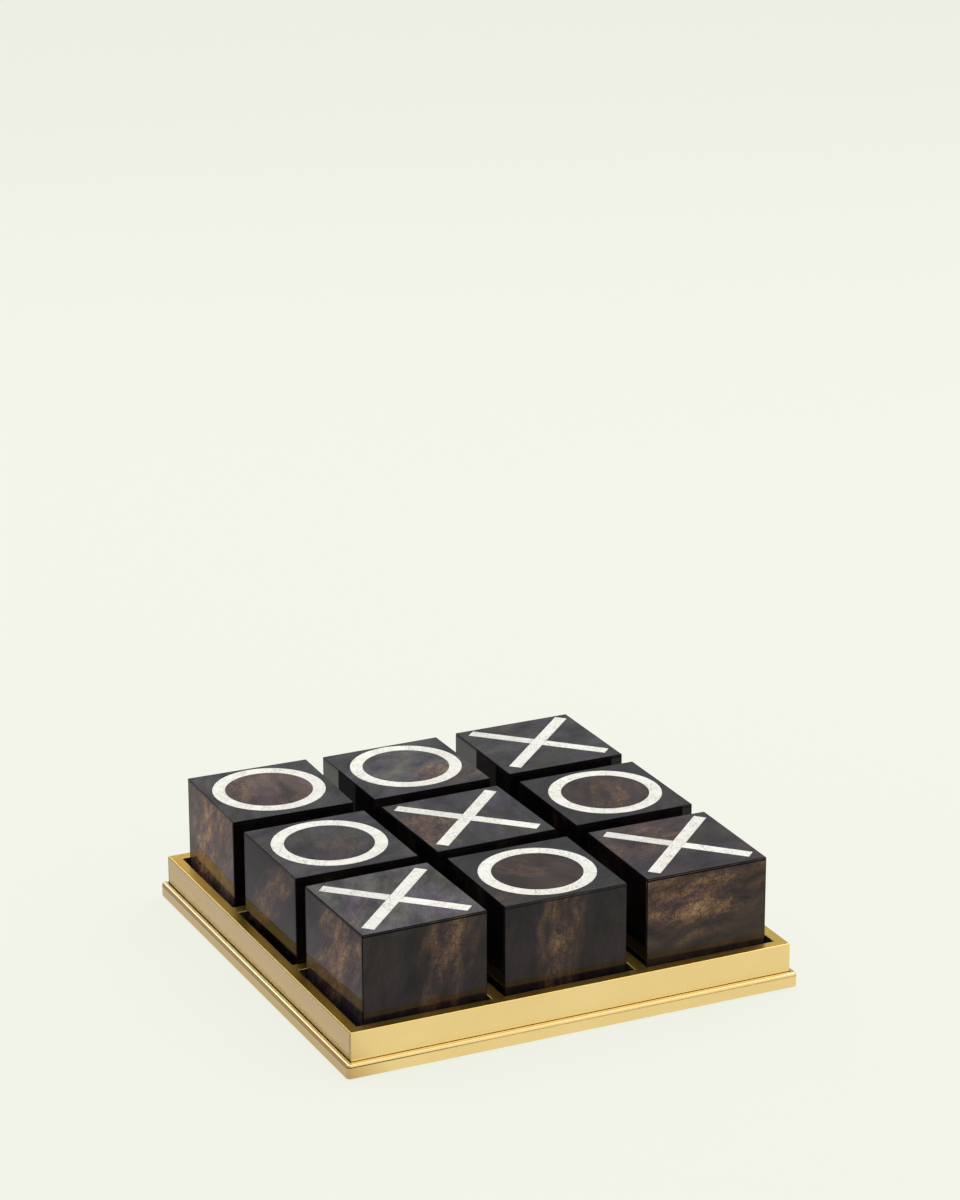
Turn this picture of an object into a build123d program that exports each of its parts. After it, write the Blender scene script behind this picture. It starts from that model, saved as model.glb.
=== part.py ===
"""Tic tac toe set: nine inlaid blocks standing in a brass-clad tray.

The tray is a wooden board inside a brass plinth moulding. Wooden frame rails and
half-lapped dividers stand on the board and part it into nine felt-lined wells. One
brass plate with nine openings covers the rails and dividers, and four brass side
plates cover the outside of the frame. Each block is a wooden core under a shell of
veneer panels, with a cross or a ring let into its top panel.

The origin is the middle of the tray's underside, +Z is up, +X runs to the right along
the front edge and +Y runs to the back. All lengths are in millimetres.
"""

from build123d import *
import math
import os

# Tray, seen from above
wells_per_side = 3
well_opening = 74.0
web_width = 6.8
rim_width = 6.0
plinth_projection = 3.2
plinth_corner_radius = 2.0

# Tray, seen from the side
frame_face_height = 15.7
plinth_height = 8.1
top_plate_thickness = 1.4
side_plate_thickness = 1.2
plate_edge_bevel = 0.4
liner_thickness = 0.8

# Plinth moulding
flange_reach = 10.0
flange_thickness = 1.6
lip_width = 2.2
ledge_fall = 0.25
bead_radius = 1.2
groove_width = 0.45
groove_depth = 0.4

# Felt under the tray
felt_thickness = 1.0
felt_proud = 0.4
felt_margin = 0.3

# Countersunk screws, one up through each flange into the board
screw_diameter = 2.6
screw_head_diameter = 5.4
screw_length = 6.0
screw_clearance = 0.1

# Half-lap joints of the dividers
lap_clearance = 0.1

# Blocks
block_clearance = 2.7
block_rise = 46.4
veneer_thickness = 1.2
block_edge_bevel = 0.4
glue_line = 0.1

# Marks let into the top panels
mark_margin = 3.9
mark_width = 6.8
ring_segments = 4
ring_seam_turn = 62.0

# Each block by its place in the tray, with its mark. The first shares say how it happens
# to stand in its well: how much of its clearance it has slid in X and Y and turned about
# Z. The last two say how much of its margin the hand-laid mark is off centre in X and Y.
block_rows = (
    (
        ("front_left", "cross", (0.56, 0.39, 0.24), (-0.05, 0.05)),
        ("front_centre", "ring", (-0.09, 0.62, -0.04), (0.08, -0.09)),
        ("front_right", "cross", (-0.24, 0.39, -0.14), (0.23, 0.16)),
    ),
    (
        ("middle_left", "ring", (0.06, -0.30, 0.03), (0.04, 0.41)),
        ("centre", "cross", (-0.53, -0.03, 0.21), (-0.03, 0.31)),
        ("middle_right", "ring", (-0.42, 0.09, 0.0), (0.17, 0.32)),
    ),
    (
        ("back_left", "ring", (0.18, 0.15, -0.28), (0.03, 0.49)),
        ("back_centre", "ring", (-0.42, -0.45, 0.10), (0.25, 0.59)),
        ("back_right", "cross", (-0.47, 0.0, 0.03), (0.28, 0.54)),
    ),
)

# Half widths, from the middle of the tray outwards
well_pitch = well_opening + web_width
field_half = (wells_per_side * well_opening + (wells_per_side - 1) * web_width) / 2
wall_half = field_half + liner_thickness
frame_half = field_half + rim_width
board_half = frame_half - side_plate_thickness
flange_half = board_half - flange_reach
plinth_half = frame_half + plinth_projection
lip_half = plinth_half - lip_width

# Heights, from the table upwards
underside = felt_thickness
flange_top = underside + flange_thickness
tray_height = plinth_height + frame_face_height
wall_top = tray_height - top_plate_thickness
wall_height = wall_top - plinth_height
lap_height = plinth_height + wall_height / 2
well_floor = plinth_height + liner_thickness

divider_width = web_width - 2 * liner_thickness
divider_places = [(i - wells_per_side / 2) * well_pitch for i in range(1, wells_per_side)]
well_places = [(i - (wells_per_side - 1) / 2) * well_pitch for i in range(wells_per_side)]
sides = ("front", "right", "back", "left")

block_side = well_opening - 2 * block_clearance
block_height = tray_height + block_rise - well_floor
block_turn_limit = math.degrees(math.atan(2 * block_clearance / block_side))
panel_half = block_side / 2
shell_inner_half = panel_half - veneer_thickness
core_half = shell_inner_half - glue_line
panel_low = veneer_thickness
panel_high = block_height - veneer_thickness
mark_reach = panel_half - mark_margin

nodes = {}


def slab(x_size, y_size, low, high):
    """A box centred on the Z axis between two heights."""
    return Pos(0, 0, (low + high) / 2) * Box(x_size, y_size, high - low)


def side_wedge(half):
    """The quarter of a square tray that belongs to its front side, cut at both mitres."""
    outline = Polyline((0, 0), (-half, -half), (half, -half), close=True)
    return extrude(make_face(outline), amount=tray_height)


def front_bar(inner, outer, low, high):
    """A mitred bar of plain section along the front side."""
    bar = Pos(0, -(inner + outer) / 2, 0) * slab(2 * outer, outer - inner, low, high)
    return bar & side_wedge(outer)


def turned_to(side, shape):
    return Rot(0, 0, 90 * sides.index(side)) * shape


def screw_shape(clearance):
    """A screw whose head is as tall as the flange is thick, or with a clearance its hole."""
    shank_radius = screw_diameter / 2 + clearance
    tip = underside + screw_length + clearance
    half_section = Polyline(
        (0, underside),
        (screw_head_diameter / 2 + clearance, underside),
        (shank_radius, flange_top),
        (shank_radius, tip),
        (0, tip),
        close=True,
    )
    return revolve(Plane.XZ * make_face(half_section), axis=Axis.Z)


def flange_screw(side, clearance):
    """The screw up through the middle of a side's flange, or with a clearance its hole."""
    return turned_to(side, Pos(0, -(flange_half + board_half) / 2, 0) * screw_shape(clearance))


def plinth_moulding():
    """The front moulding: a flange under the board, a lip round the felt, a beaded ledge."""
    groove_top = plinth_height - ledge_fall - bead_radius
    outline = Polyline(
        (-flange_half, underside),
        (-lip_half, underside),
        (-lip_half, felt_proud),
        (-plinth_half, felt_proud),
        (-plinth_half, groove_top - groove_width),
        (-plinth_half + groove_depth, groove_top - groove_width),
        (-plinth_half + groove_depth, groove_top),
        (-plinth_half, groove_top),
        (-plinth_half, plinth_height - ledge_fall),
        (-frame_half, plinth_height),
        (-board_half, plinth_height),
        (-board_half, flange_top),
        (-flange_half, flange_top),
        close=True,
    )
    section = make_face(outline)
    bead_corner = section.vertices().sort_by_distance((-plinth_half, plinth_height - ledge_fall, 0))[0]
    section = fillet(bead_corner, 0.99 * bead_radius)
    bar = extrude(Plane.YZ * section, amount=plinth_half, both=True)
    rounded = fillet(slab(2 * plinth_half, 2 * plinth_half, 0, tray_height).edges().filter_by(Axis.Z),
                     plinth_corner_radius)
    return (bar & side_wedge(plinth_half) & rounded) - flange_screw("front", screw_clearance)


def base_board():
    """The board, rebated all round to sit on the moulding's flange."""
    board = slab(2 * flange_half, 2 * flange_half, underside, flange_top)
    board += slab(2 * board_half, 2 * board_half, flange_top, plinth_height)
    for side in sides:
        board -= flange_screw(side, screw_clearance)
    return board


def side_plate(side):
    """Front and back plates run the full width and cover the ends of the other two."""
    covers_ends = side in ("front", "back")
    half_length = frame_half if covers_ends else board_half
    plate = Pos(0, -(board_half + frame_half) / 2, 0) * slab(
        2 * half_length, side_plate_thickness, plinth_height, wall_top)
    if covers_ends:
        outer_corners = plate.edges().filter_by(Axis.Z).group_by(Axis.Y)[0]
        plate = chamfer(outer_corners, plate_edge_bevel)
    return plate


def divider(runs_along_x):
    """A divider bar, notched from above or from below where the others cross it."""
    bar = slab(2 * wall_half, divider_width, plinth_height, wall_top)
    notch_low, notch_high = (lap_height, wall_top) if runs_along_x else (plinth_height, lap_height)
    notch = slab(divider_width + 2 * lap_clearance, divider_width, notch_low, notch_high)
    for place in divider_places:
        bar -= Pos(place, 0, 0) * notch
    return bar


def top_plate():
    """One plate over the whole frame, with a bevelled opening over each well."""
    plate = slab(2 * frame_half, 2 * frame_half, wall_top, tray_height)
    opening = slab(well_opening, well_opening, wall_top, tray_height)
    for x in well_places:
        for y in well_places:
            plate -= Pos(x, y, 0) * opening
    return chamfer(plate.edges().group_by(Axis.Z)[-1], plate_edge_bevel)


def well_liners():
    """A felt box in each well, its inner walls flush with the opening above."""
    outer_side = well_opening + 2 * liner_thickness
    liner = slab(outer_side, outer_side, plinth_height, wall_top)
    liner -= slab(well_opening, well_opening, well_floor, wall_top)
    return [Pos(x, y, 0) * liner for y in well_places for x in well_places]


def ring_outline(grow):
    return Circle(mark_reach + grow) - Circle(mark_reach - mark_width - grow)


def cross_arm(grow):
    """One whole arm, cut square, whose corners reach as far out as the ring does."""
    arm_length = 2 * (mark_reach * math.sqrt(2) - mark_width / 2)
    return Rectangle(arm_length + 2 * grow, mark_width + 2 * grow)


def mark_outline(mark, grow):
    if mark == "ring":
        return ring_outline(grow)
    return Rot(0, 0, 45) * cross_arm(grow) + Rot(0, 0, -45) * cross_arm(grow)


def inlay(mark):
    """The inlay pieces: arc segments for a ring, one long and two short bars for a cross."""
    if mark == "ring":
        ring = extrude(ring_outline(0), amount=veneer_thickness)
        seam = Pos(mark_reach / 2, 0, 0) * Box(mark_reach + mark_width, glue_line, 4 * veneer_thickness)
        for i in range(ring_segments):
            ring -= Rot(0, 0, ring_seam_turn + 360 * i / ring_segments) * seam
        return ring
    long_bar = extrude(Rot(0, 0, 45) * cross_arm(0), amount=veneer_thickness)
    gap = extrude(Rot(0, 0, 45) * cross_arm(glue_line), amount=veneer_thickness)
    short_bars = extrude(Rot(0, 0, -45) * cross_arm(0), amount=veneer_thickness) - gap
    return long_bar + short_bars


def end_panel(low, high, outer):
    """A whole square panel, its upright and outer edges eased."""
    panel = slab(block_side, block_side, low, high)
    outer_edges = panel.edges().filter_by_position(Axis.Z, outer, outer)
    return chamfer(panel.edges().filter_by(Axis.Z) + outer_edges, block_edge_bevel)


def side_panels():
    """Front and back panels run the full width. The other two fit between them."""
    middle = (panel_half + shell_inner_half) / 2
    wide = Pos(0, -middle, 0) * slab(block_side, veneer_thickness, panel_low, panel_high)
    outer_corners = wide.edges().filter_by(Axis.Z).group_by(Axis.Y)[0]
    wide = chamfer(outer_corners, block_edge_bevel)
    narrow = Pos(-middle, 0, 0) * slab(veneer_thickness, 2 * shell_inner_half, panel_low, panel_high)
    return [wide, Rot(0, 0, 180) * wide, narrow, Rot(0, 0, 180) * narrow]


def top_panel(mark, mark_place):
    """The top panel with the mark's socket. A ring's socket leaves a separate disc inside."""
    socket = extrude(mark_outline(mark, glue_line), amount=veneer_thickness)
    return end_panel(panel_high, block_height, block_height) - mark_place * socket


def block_place(row, column, stance):
    """Where a block stands: the middle of its well, moved by its stance."""
    x_share, y_share, turn_share = stance
    x = well_places[column] + x_share * block_clearance
    y = well_places[row] + y_share * block_clearance
    return Pos(x, y, well_floor) * Rot(0, 0, turn_share * block_turn_limit)


def add_tray():
    moulding = plinth_moulding()
    core_rail = front_bar(wall_half, board_half, plinth_height, wall_top)
    nodes["base_board"] = [base_board()]
    for side in sides:
        nodes[f"plinth_moulding_{side}"] = [turned_to(side, moulding)]
        nodes[f"frame_rail_{side}"] = [turned_to(side, core_rail)]
        nodes[f"side_plate_{side}"] = [turned_to(side, side_plate(side))]
    along_x, along_y = divider(True), Rot(0, 0, 90) * divider(False)
    for number, place in enumerate(divider_places, start=1):
        nodes[f"cross_divider_{number}"] = [Pos(0, place, 0) * along_x]
        nodes[f"long_divider_{number}"] = [Pos(place, 0, 0) * along_y]
    nodes["top_plate"] = [top_plate()]
    nodes["well_liners"] = well_liners()
    felt_side = 2 * (lip_half - felt_margin)
    nodes["underside_felt"] = [slab(felt_side, felt_side, 0, underside)]
    nodes["flange_screws"] = [flange_screw(side, 0) for side in sides]


def add_blocks():
    core = slab(2 * core_half, 2 * core_half, panel_low + glue_line, panel_high - glue_line)
    panels = side_panels() + [end_panel(0, panel_low, 0)]
    inlays = {mark: inlay(mark) for mark in ("cross", "ring")}
    for row, blocks in enumerate(block_rows):
        for column, (name, mark, stance, (x_share, y_share)) in enumerate(blocks):
            place = block_place(row, column, stance)
            mark_place = Pos(x_share * mark_margin, y_share * mark_margin, panel_high)
            nodes[f"{name}_core"] = [place * core]
            nodes[f"{name}_side_panels"] = [place * panel for panel in panels]
            nodes[f"{name}_top_panel"] = [place * top_panel(mark, mark_place)]
            nodes[f"{name}_{mark}_inlay"] = [place * mark_place * inlays[mark]]


def write_parts():
    os.makedirs("parts", exist_ok=True)
    for name, shapes in nodes.items():
        solids = [solid for shape in shapes for solid in shape.solids()]
        export_step(solids[0] if len(solids) == 1 else Compound(children=solids), f"parts/{name}.step")


add_tray()
add_blocks()
write_parts()
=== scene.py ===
"""Looks of the tic tac toe set: brass-clad tray, felt-lined wells and nine inlaid blocks.

Everything is in metres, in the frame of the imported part. Pieces that stay as CAD solids
(the wood inside and the screws) get a finish here, and the visible ones are made again
with eased edges, open glue joints and the finishes of the real set.
"""

import itertools
import math
import random
from collections import namedtuple

import bmesh
import bpy
from mathutils import Matrix, Vector


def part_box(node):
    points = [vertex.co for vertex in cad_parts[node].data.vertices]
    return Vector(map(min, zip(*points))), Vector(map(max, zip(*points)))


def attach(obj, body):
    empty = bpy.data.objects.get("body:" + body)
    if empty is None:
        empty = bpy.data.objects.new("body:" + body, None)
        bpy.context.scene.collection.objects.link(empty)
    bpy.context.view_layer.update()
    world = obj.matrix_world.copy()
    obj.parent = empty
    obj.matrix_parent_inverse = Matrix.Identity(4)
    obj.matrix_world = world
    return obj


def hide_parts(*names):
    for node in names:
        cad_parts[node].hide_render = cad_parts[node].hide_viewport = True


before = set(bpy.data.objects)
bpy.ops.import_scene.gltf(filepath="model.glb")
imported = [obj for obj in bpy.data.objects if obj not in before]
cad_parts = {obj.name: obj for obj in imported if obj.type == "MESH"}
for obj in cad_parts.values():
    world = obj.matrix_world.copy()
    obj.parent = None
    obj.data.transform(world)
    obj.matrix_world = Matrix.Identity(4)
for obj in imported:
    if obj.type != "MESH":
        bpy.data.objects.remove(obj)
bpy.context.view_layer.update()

mm = 0.001

# A point this near a line counts as on it
near = 0.01 * mm

# Two faces that meet at more than this make a sharp edge
sharp_angle = math.radians(30)

# How many facets a rounded edge has
ease_steps = 3

# Tray, from the CAD nodes
plate_low, plate_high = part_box("top_plate")
front_low, front_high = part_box("plinth_moulding_front")
liner_low, liner_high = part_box("well_liners")
frame_half = plate_high.x
tray_height = plate_high.z
wall_top = plate_low.z
plinth_half = -front_low.y
plinth_height = front_high.z

# Tray, sizes the boxes don't give
wells_per_side = 3
well_opening = 74.0 * mm
web_width = 6.8 * mm
well_pitch = well_opening + web_width
side_plate_thickness = 1.2 * mm
liner_thickness = 0.8 * mm
board_half = frame_half - side_plate_thickness
plate_ease = 0.6 * mm
inner_share = 0.6
seam_ease = 0.2 * mm

# Plinth moulding
flange_reach = 10.0 * mm
flange_top = 2.6 * mm
underside = 1.0 * mm
felt_proud = 0.4 * mm
lip_width = 2.2 * mm
ledge_fall = 0.05 * mm
ledge_start = 0.02 * mm
bead_radius = 1.4 * mm
bead_rise = 0.04 * mm
bead_steps = 10
groove_width = 0.45 * mm
groove_depth = 0.4 * mm
groove_ease = 0.06 * mm
lip_ease = 0.3 * mm
lip_steps = 3
foot_gap = 0.50 * mm
corner_radius = 2.0 * mm
corner_steps = 6
corner_reach = 14.0 * mm
corner_spread = 0.2
crease_angle = math.radians(32)

# Felt
felt_margin = 0.3 * mm
felt_edge_ease = 0.3 * mm
felt_steps = 40
lining_steps = 12
lining_levels = (0.34, 0.67, 1.0)

# Blocks
block_half = 34.3 * mm
veneer = 1.2 * mm
block_height = 61.3 * mm
glue_line = 0.1 * mm
corner_ease = 0.4 * mm
top_share = 0.75
joint_ease = 0.08 * mm
mark_reach = 30.4 * mm
mark_width = 6.8 * mm
arm_length = mark_reach * math.sqrt(2) - mark_width / 2
mark_ease = 0.05 * mm
mark_ease_steps = 2
ring_segments = 4
ring_seam_turn = math.radians(62)
ring_tone = 0.55
tone_seed = 7
circle_steps = 128
lid_low = block_height - veneer

sides = ("front", "right", "back", "left")
rightward = Vector((1, 0, 0))
backward = Vector((0, 1, 0))
upward = Vector((0, 0, 1))

# How brushing stretches the scratches of the brass
brushed_across = (50.0, 4200.0, 4200.0)
brushed_along = (4200.0, 50.0, 4200.0)
buffed = (50.0, 50.0, 4200.0)

# Tints of the brass, from its darker clouds to its lighter ones
light_tints = ((0.88, 0.640, 0.258), (0.91, 0.668, 0.278), (0.93, 0.692, 0.300))
edge_tints = ((0.86, 0.600, 0.165), (0.91, 0.645, 0.195), (0.94, 0.680, 0.235))
# Paler tints paint a lighter reflection on the plinth's flat ledge
ledge_reflection_tints = ((0.90, 0.760, 0.420), (0.93, 0.790, 0.450), (0.95, 0.810, 0.470))
# Deeper tints for the rim's top and webs: a patina, deepened to paint the dark, deep-coloured reflection of
# the blocks
rim_reflection_tints = ((0.82, 0.475, 0.070), (0.92, 0.600, 0.115), (0.96, 0.670, 0.165))

# Ground colours of the shell sheets
# soot also paints the shade on the block faces inside the set
soot = (0.0045, 0.0038, 0.0042)
charcoal = (0.017, 0.0122, 0.0132)
graphite = (0.020, 0.0190, 0.0195)
smoke = (0.034, 0.028, 0.029)
slate = (0.038, 0.0365, 0.0375)
ash = (0.074, 0.071, 0.072)
plum = (0.031, 0.020, 0.027)
umber = (0.036, 0.023, 0.018)
rose = (0.082, 0.056, 0.047)

# A sheet's ground colour, how strong its amber patch is, the patch's middle and reach in parts
# of the face, and how far the grain leans to the right, in degrees.
Sheet = namedtuple("Sheet", "ground glow middle reach lean")
outer_sheets = {
    ("front_left", "front"): Sheet(charcoal, 0.62, (0.68, 0.62), (0.20, 0.52), 14),
    ("front_left", "left"): Sheet(smoke, 1.20, (0.60, 0.62), (0.28, 0.52), 42),
    ("front_left", "top"): Sheet(ash, 0.20, (0.10, 0.30), (0.12, 0.30), 30),
    ("front_centre", "front"): Sheet(charcoal, 0.66, (0.46, 0.60), (0.17, 0.62), 3),
    ("front_centre", "top"): Sheet(graphite, 0.20, (0.05, 0.20), (0.15, 0.30), 60),
    ("front_centre", "disc"): Sheet(umber, 0.75, (0.38, 0.64), (0.13, 0.26), 150),
    ("front_right", "front"): Sheet(umber, 0.95, (0.34, 0.70), (0.34, 0.62), 82),
    ("front_right", "top"): Sheet(smoke, 0.42, (0.30, 0.70), (0.30, 0.46), 60),
    ("middle_left", "left"): Sheet(soot, 0.84, (0.55, 0.60), (0.16, 0.55), 52),
    ("middle_left", "top"): Sheet(slate, 0.05, (0.20, 0.20), (0.2, 0.2), 70),
    ("middle_left", "disc"): Sheet(slate, 0.20, (0.50, 0.40), (0.3, 0.3), 20),
    ("centre", "top"): Sheet(slate, 0.72, (0.14, 0.46), (0.24, 0.40), 10),
    ("middle_right", "top"): Sheet(graphite, 0.10, (0.85, 0.15), (0.2, 0.3), 40),
    ("middle_right", "disc"): Sheet(umber, 0.70, (0.50, 0.44), (0.14, 0.26), 25),
    ("back_left", "left"): Sheet(rose, 1.40, (0.52, 0.60), (0.30, 0.62), 35),
    ("back_left", "top"): Sheet(slate, 0.05, (0.20, 0.80), (0.2, 0.2), 20),
    ("back_left", "disc"): Sheet(rose, 0.35, (0.28, 0.52), (0.12, 0.30), 10),
    ("back_centre", "top"): Sheet(slate, 0.20, (0.90, 0.15), (0.16, 0.3), 50),
    ("back_centre", "disc"): Sheet(ash, 0.85, (0.64, 0.32), (0.13, 0.22), 60),
    ("back_right", "top"): Sheet(slate, 0.20, (0.50, 0.85), (0.30, 0.2), 65),
}


# ---------------------------------------------------------------- node helpers

def add_node(tree, kind, inputs=None, **settings):
    """A node whose inputs are values or other nodes' sockets."""
    node = tree.nodes.new(kind)
    for key, value in settings.items():
        setattr(node, key, value)
    for socket, value in (inputs or {}).items():
        if isinstance(value, bpy.types.NodeSocket):
            tree.links.new(value, node.inputs[socket])
        else:
            node.inputs[socket].default_value = value
    return node


def colour(red, green, blue):
    return (red, green, blue, 1.0)


def maths(tree, operation, first, second=0.5, clamp=False):
    node = add_node(tree, "ShaderNodeMath", {0: first, 1: second}, operation=operation, use_clamp=clamp)
    return node.outputs[0]


def spread(tree, value, low, high, to_low=0.0, to_high=1.0):
    """Maps a value's range to another, and stops at its ends."""
    node = add_node(tree, "ShaderNodeMapRange",
                    {"Value": value, "From Min": low, "From Max": high, "To Min": to_low, "To Max": to_high})
    return node.outputs[0]


def times(tree, first, second, clamp=False):
    return maths(tree, "MULTIPLY", first, second, clamp)


def blended(tree, factor, first, second, blend="MIX"):
    node = add_node(tree, "ShaderNodeMix", {0: factor, 6: first, 7: second},
                    data_type="RGBA", blend_type=blend)
    return node.outputs[2]


def tinted_by(tree, base, tint):
    """A colour multiplied by another colour or by a value."""
    return blended(tree, 1.0, base, tint, "MULTIPLY")


def axes(tree, vector):
    """The X, Y and Z of a vector."""
    return add_node(tree, "ShaderNodeSeparateXYZ", {0: vector}).outputs


def vector_maths(tree, operation, inputs):
    return add_node(tree, "ShaderNodeVectorMath", inputs, operation=operation).outputs


def shades(tree, factor, stops):
    """A colour ramp through the given places and colours."""
    ramp = add_node(tree, "ShaderNodeValToRGB", {"Fac": factor})
    elements = ramp.color_ramp.elements
    while len(elements) < len(stops):
        elements.new(0.5)
    for element, (place, shade) in zip(elements, stops):
        element.position = place
        element.color = colour(*shade)
    return ramp.outputs["Color"]


def stretched(tree, vector, scale, turn=0.0):
    mapping = add_node(tree, "ShaderNodeMapping",
                       {"Vector": vector, "Scale": scale, "Rotation": (0.0, 0.0, turn)})
    return mapping.outputs["Vector"]


def noise(tree, vector, scale, detail=4.0, roughness=0.5, distortion=0.0, output="Fac"):
    node = add_node(tree, "ShaderNodeTexNoise",
                    {"Vector": vector, "Scale": scale, "Detail": detail, "Roughness": roughness,
                     "Distortion": distortion})
    return node.outputs[output]


def warped(tree, vector, scale, amount):
    """Moves a pattern's coordinates about by a slow noise."""
    drift = noise(tree, vector, scale, detail=2.0, output="Color")
    centred = vector_maths(tree, "SUBTRACT", {0: drift, 1: (0.5, 0.5, 0.5)})
    scaled = vector_maths(tree, "SCALE", {0: centred[0], "Scale": amount})
    return vector_maths(tree, "ADD", {0: vector, 1: scaled[0]})[0]


def crackle(tree, vector, scale, line):
    """Thin lines of a cracked surface: 1 on a line, 0 away from it."""
    cells = add_node(tree, "ShaderNodeTexVoronoi", {"Vector": vector, "Scale": scale},
                     feature="DISTANCE_TO_EDGE")
    return spread(tree, cells.outputs["Distance"], 0.0, line, 1.0, 0.0)


def bumped(tree, height, strength, distance):
    inputs = {"Height": height, "Strength": strength, "Distance": distance}
    return add_node(tree, "ShaderNodeBump", inputs).outputs["Normal"]


def attribute(tree, name, output="Fac"):
    return add_node(tree, "ShaderNodeAttribute", attribute_name=name).outputs[output]


def empty_tree(owner):
    """The cleared node tree of a material or a world."""
    owner.use_nodes = True
    owner.node_tree.nodes.clear()
    return owner.node_tree


def start_material(name, fixed):
    """A material with a Principled shader, whose uniform values are set on its sockets."""
    material = bpy.data.materials.new(name)
    tree = empty_tree(material)
    shader = add_node(tree, "ShaderNodeBsdfPrincipled", fixed)
    add_node(tree, "ShaderNodeOutputMaterial", {"Surface": shader.outputs[0]})
    return material, tree, shader


def object_place(tree):
    return add_node(tree, "ShaderNodeTexCoord").outputs["Object"]


def feed(tree, shader, **sockets):
    """Links the pattern's results to the shader's base colour, roughness and normals."""
    names = {"base": "Base Color", "roughness": "Roughness", "normal": "Normal", "coat_normal": "Coat Normal"}
    for key, socket in sockets.items():
        tree.links.new(socket, shader.inputs[names[key]])


# ---------------------------------------------------------------- finishes

def satin_brass(name, strokes, tints, polish, lacquer):
    """Brass brushed in one direction, then lacquered.

    strokes stretches the scratches, tints run from dark to light, polish is the least
    roughness and lacquer is the weight of the coat.
    """
    material, tree, shader = start_material(name, {
        "Metallic": 1.0, "Coat Weight": lacquer, "Coat IOR": 1.45, "Coat Roughness": 0.16})
    place = object_place(tree)
    scratch = noise(tree, stretched(tree, place, strokes), 1.0, detail=2.0, roughness=0.5)
    cloud = noise(tree, place, 26.0, detail=5.0, roughness=0.6)
    speck = noise(tree, place, 700.0, detail=2.0)
    tint = shades(tree, cloud, tuple(zip((0.30, 0.52, 0.75), tints)))
    streak = spread(tree, scratch, 0.25, 0.75, 0.985, 1.01)
    base = tinted_by(tree, tint, streak)
    drawn = spread(tree, scratch, 0.2, 0.8, polish, polish + 0.05)
    rough = maths(tree, "ADD", drawn, spread(tree, cloud, 0.3, 0.7, -0.02, 0.03))
    height = maths(tree, "ADD", scratch, times(tree, speck, 0.25))
    normal = bumped(tree, height, 0.014, 0.01 * mm)
    feed(tree, shader, base=base, roughness=rough, normal=normal)
    return material


def seam_and_shade_brass():
    """Brass with painted shade in the plinth's groove and in the gap at the frame's foot, also used dark on
    the side plates' seams.

    Along the groove the painted shade fades out from the left end of the tray towards the right. The gap at
    the frame's foot lies higher and keeps its painted shade.
    """
    material, tree, shader = start_material("seam_and_shade_brass", {
        "Metallic": 1.0, "Specular Tint": colour(0.70, 0.42, 0.14)})
    fade_start, fade_end = -0.115, -0.050
    groove_line, gap_line = plinth_height - 1.0 * mm, plinth_height - 0.7 * mm
    place = object_place(tree)
    apart = axes(tree, place)
    cloud = noise(tree, place, 500.0, detail=4.0)
    # painted shade: the dark colours of the groove, the frame's foot and the plates' seams
    dark = shades(tree, cloud, ((0.3, (0.070, 0.046, 0.010)), (0.7, (0.150, 0.104, 0.022))))
    shade_fading = spread(tree, apart["X"], fade_start, fade_end, 0.0, 0.95)
    in_groove = spread(tree, apart["Z"], groove_line, gap_line, 1.0, 0.0)
    # where the groove's painted shade has faded out
    shade_faded_colour = colour(0.90, 0.74, 0.46)
    base = blended(tree, times(tree, shade_fading, in_groove), dark, shade_faded_colour)
    feed(tree, shader, base=base, roughness=spread(tree, cloud, 0.3, 0.7, 0.45, 0.62))
    return material


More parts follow.
